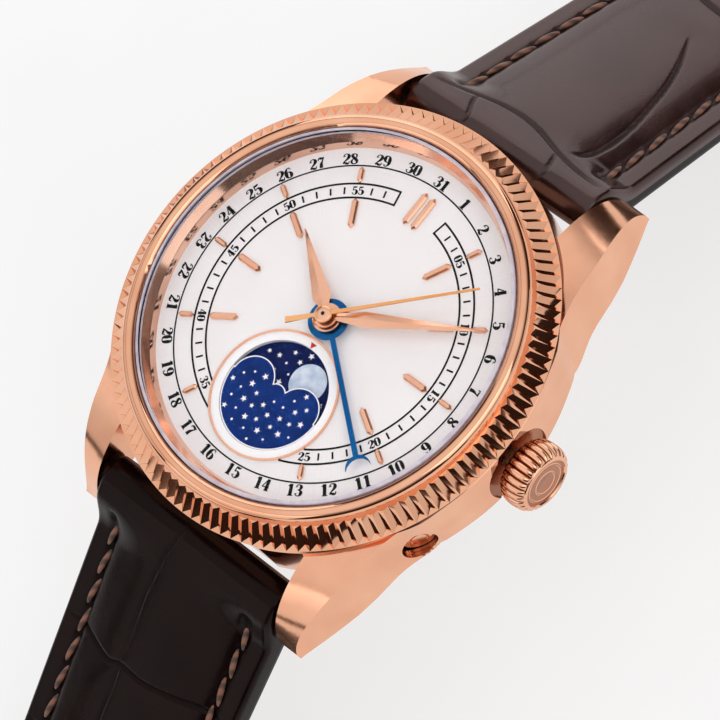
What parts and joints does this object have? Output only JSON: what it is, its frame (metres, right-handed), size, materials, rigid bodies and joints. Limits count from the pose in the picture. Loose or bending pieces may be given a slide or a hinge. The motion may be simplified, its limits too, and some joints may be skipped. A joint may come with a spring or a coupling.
{
  "type": "moon phase watch",
  "caption": "Round dress watch with fluted bezel, moon phase and pointer date, on a padded leather strap with pin buckle, opened out flat.",
  "frame": {"origin": "middle of the case back's outer face", "axes": "+Z out of the dial, +Y to 12 o'clock, +X to 3 o'clock and the crown"},
  "size_m": [0.0437, 0.2341, 0.0305],
  "materials": {
    "rose_gold": "polished",
    "sapphire": "clear, polished",
    "seal_rubber": "moulded, pale",
    "steel": "fine turned",
    "polished_steel": "polished",
    "dial_silver": "fine grained silver",
    "moon_blue": "dark blue lacquer",
    "mask_blue": "sparkling blue",
    "hand_blue": "blued",
    "applied_gold": "facetted, polished",
    "plated_brass": "rhodium plated, striped",
    "gilt_brass": "gilt",
    "spring_alloy": "bright",
    "ruby": "polished",
    "strap_leather": "glossy scaled"
  },
  "bodies": {
    "case": {"mid_case": "rose_gold", "bezel": "rose_gold", "rehaut": "polished_steel", "crystal": "sapphire", "crystal_gasket": "seal_rubber", "case_back_ring": "rose_gold", "case_back_glass": "sapphire", "case_back_gasket": "seal_rubber", "crown_tube": "steel", "spring_bars": "steel", "dial": "dial_silver", "subdial_ring": "applied_gold", "moon_mask": "mask_blue", "outer_indices": "applied_gold", "inner_indices": "applied_gold", "twelve_marker": "applied_gold", "movement_ring": "plated_brass", "mainplate": "plated_brass", "train_bridge": "plated_brass", "balance_cock": "plated_brass", "jewels": "ruby", "bridge_screws": "hand_blue", "rotor_bearing": "steel", "calendar_jumpers": "steel"},
    "winding_pinion": {"winding_pinion": "polished_steel"},
    "crown": {"crown": "rose_gold", "crown_stem": "steel"},
    "crown_wheel": {"crown_wheel": "polished_steel"},
    "ratchet": {"ratchet_wheel": "polished_steel"},
    "corrector": {"corrector_pusher": "rose_gold"},
    "rotor": {"rotor": "plated_brass"},
    "barrel": {"barrel": "gilt_brass"},
    "centre_wheel": {"centre_wheel": "gilt_brass"},
    "third_wheel": {"third_wheel": "gilt_brass"},
    "seconds": {"fourth_wheel": "gilt_brass", "second_hand": "applied_gold"},
    "escape_wheel": {"escape_wheel": "gilt_brass"},
    "pallet": {"pallet_fork": "polished_steel"},
    "balance": {"balance_wheel": "gilt_brass", "hairspring": "spring_alloy"},
    "minutes": {"cannon_pinion": "gilt_brass", "minute_hand": "applied_gold"},
    "minute_wheel": {"minute_wheel": "gilt_brass"},
    "hours": {"hour_wheel": "gilt_brass", "hour_hand": "applied_gold"},
    "date_driver": {"date_driver": "gilt_brass"},
    "date": {"date_wheel": "gilt_brass", "date_hand": "hand_blue"},
    "moon": {"moon_disc": "moon_blue"},
    "strap_12": {"strap_12_half": "strap_leather", "fixed_keeper": "strap_leather"},
    "strap_6": {"strap_6_half": "strap_leather"},
    "sliding_keeper": {"sliding_keeper": "strap_leather"},
    "buckle": {"buckle_frame": "rose_gold", "buckle_bar": "steel"},
    "tongue": {"buckle_tongue": "rose_gold"}
  },
  "joints": [
    {"name": "winding_turn", "type": "hinge", "parent": "case", "child": "winding_pinion", "pos_m": [0.011, 0, 0.00509], "axis": [1, 0, 0], "continuous": true},
    {"name": "crown_pull", "type": "slide", "parent": "winding_pinion", "child": "crown", "axis": [1, 0, 0], "range_m": [0, 0.0013]},
    {"name": "crown_wheel_turn", "type": "hinge", "parent": "case", "child": "crown_wheel", "pos_m": [0.0076, 0, 0.003], "axis": [0, 0, 1], "continuous": true},
    {"name": "ratchet_turn", "type": "hinge", "parent": "case", "child": "ratchet", "pos_m": [0.00294, 0.00509, 0.003], "axis": [0, 0, 1], "continuous": true},
    {"name": "corrector_press", "type": "slide", "parent": "case", "child": "corrector", "axis": [-0.866, 0.5, 0], "range_m": [0, 0.0008], "stiffness_N_per_m": 400, "springref_m": -0.0004},
    {"name": "rotor_swing", "type": "hinge", "parent": "case", "child": "rotor", "pos_m": [0, 0, 0.00175], "axis": [0, 0, 1], "continuous": true},
    {"name": "seconds_spin", "type": "hinge", "parent": "case", "child": "seconds", "pos_m": [0, 0, 0.00899], "axis": [0, 0, -1], "continuous": true},
    {"name": "centre_spin", "type": "hinge", "parent": "case", "child": "centre_wheel", "pos_m": [0, 0, 0.00429], "axis": [0, 0, -1], "continuous": true},
    {"name": "third_spin", "type": "hinge", "parent": "case", "child": "third_wheel", "pos_m": [-0.00423, -0.00154, 0.00429], "axis": [0, 0, -1], "continuous": true},
    {"name": "escape_spin", "type": "hinge", "parent": "case", "child": "escape_wheel", "pos_m": [0.00224, -0.00388, 0.00429], "axis": [0, 0, -1], "continuous": true},
    {"name": "barrel_spin", "type": "hinge", "parent": "case", "child": "barrel", "pos_m": [0.00294, 0.00509, 0.00429], "axis": [0, 0, -1], "continuous": true},
    {"name": "pallet_rock", "type": "hinge", "parent": "case", "child": "pallet", "pos_m": [0.00347, -0.00601, 0.00429], "axis": [0, 0, -1], "range_deg": [-5, 5]},
    {"name": "balance_swing", "type": "hinge", "parent": "case", "child": "balance", "pos_m": [0.00477, -0.00826, 0.00429], "axis": [0, 0, -1], "range_deg": [-270, 270], "stiffness_Nm_per_rad": 0.00000047},
    {"name": "minutes_spin", "type": "hinge", "parent": "case", "child": "minutes", "pos_m": [0, 0, 0.00899], "axis": [0, 0, -1], "continuous": true},
    {"name": "minute_wheel_spin", "type": "hinge", "parent": "case", "child": "minute_wheel", "pos_m": [-0.00249, 0.00144, 0.00729], "axis": [0, 0, -1], "continuous": true},
    {"name": "hours_spin", "type": "hinge", "parent": "case", "child": "hours", "pos_m": [0, 0, 0.00899], "axis": [0, 0, -1], "continuous": true},
    {"name": "date_driver_spin", "type": "hinge", "parent": "case", "child": "date_driver", "pos_m": [-0.0065, -0.00236, 0.00729], "axis": [0, 0, -1], "continuous": true},
    {"name": "date_spin", "type": "hinge", "parent": "case", "child": "date", "pos_m": [0, 0, 0.00899], "axis": [0, 0, -1], "continuous": true},
    {"name": "moon_spin", "type": "hinge", "parent": "case", "child": "moon", "pos_m": [0, -0.0078, 0.00729], "axis": [0, 0, -1], "continuous": true},
    {"name": "strap_12_hinge", "type": "hinge", "parent": "case", "child": "strap_12", "pos_m": [0, 0.0212, 0.0032], "axis": [1, 0, 0], "range_deg": [-50, 40]},
    {"name": "strap_6_hinge", "type": "hinge", "parent": "case", "child": "strap_6", "pos_m": [0, -0.0212, 0.0032], "axis": [-1, 0, 0], "range_deg": [-50, 40]},
    {"name": "keeper_slide", "type": "slide", "parent": "strap_12", "child": "sliding_keeper", "axis": [0, 1, 0], "range_m": [-0.005, 0.004]},
    {"name": "buckle_swing", "type": "hinge", "parent": "strap_12", "child": "buckle", "pos_m": [0, 0.09192, -0.01555], "axis": [1, 0, 0], "range_deg": [-40, 110]},
    {"name": "tongue_swing", "type": "hinge", "parent": "buckle", "child": "tongue", "pos_m": [0, 0.09192, -0.01555], "axis": [1, 0, 0], "range_deg": [0, 110]}
  ],
  "couplings": [
    {"joint": "centre_spin", "follows": "seconds_spin", "ratio": 0.016667},
    {"joint": "third_spin", "follows": "seconds_spin", "ratio": -0.13333},
    {"joint": "escape_spin", "follows": "seconds_spin", "ratio": -12},
    {"joint": "barrel_spin", "follows": "seconds_spin", "ratio": -0.0027778},
    {"joint": "minute_wheel_spin", "follows": "minutes_spin", "ratio": -0.33333},
    {"joint": "hours_spin", "follows": "minutes_spin", "ratio": 0.083333},
    {"joint": "date_driver_spin", "follows": "minutes_spin", "ratio": -0.041667},
    {"joint": "crown_wheel_turn", "follows": "winding_turn", "ratio": 0.43243},
    {"joint": "ratchet_turn", "follows": "winding_turn", "ratio": -0.5}
  ]
}
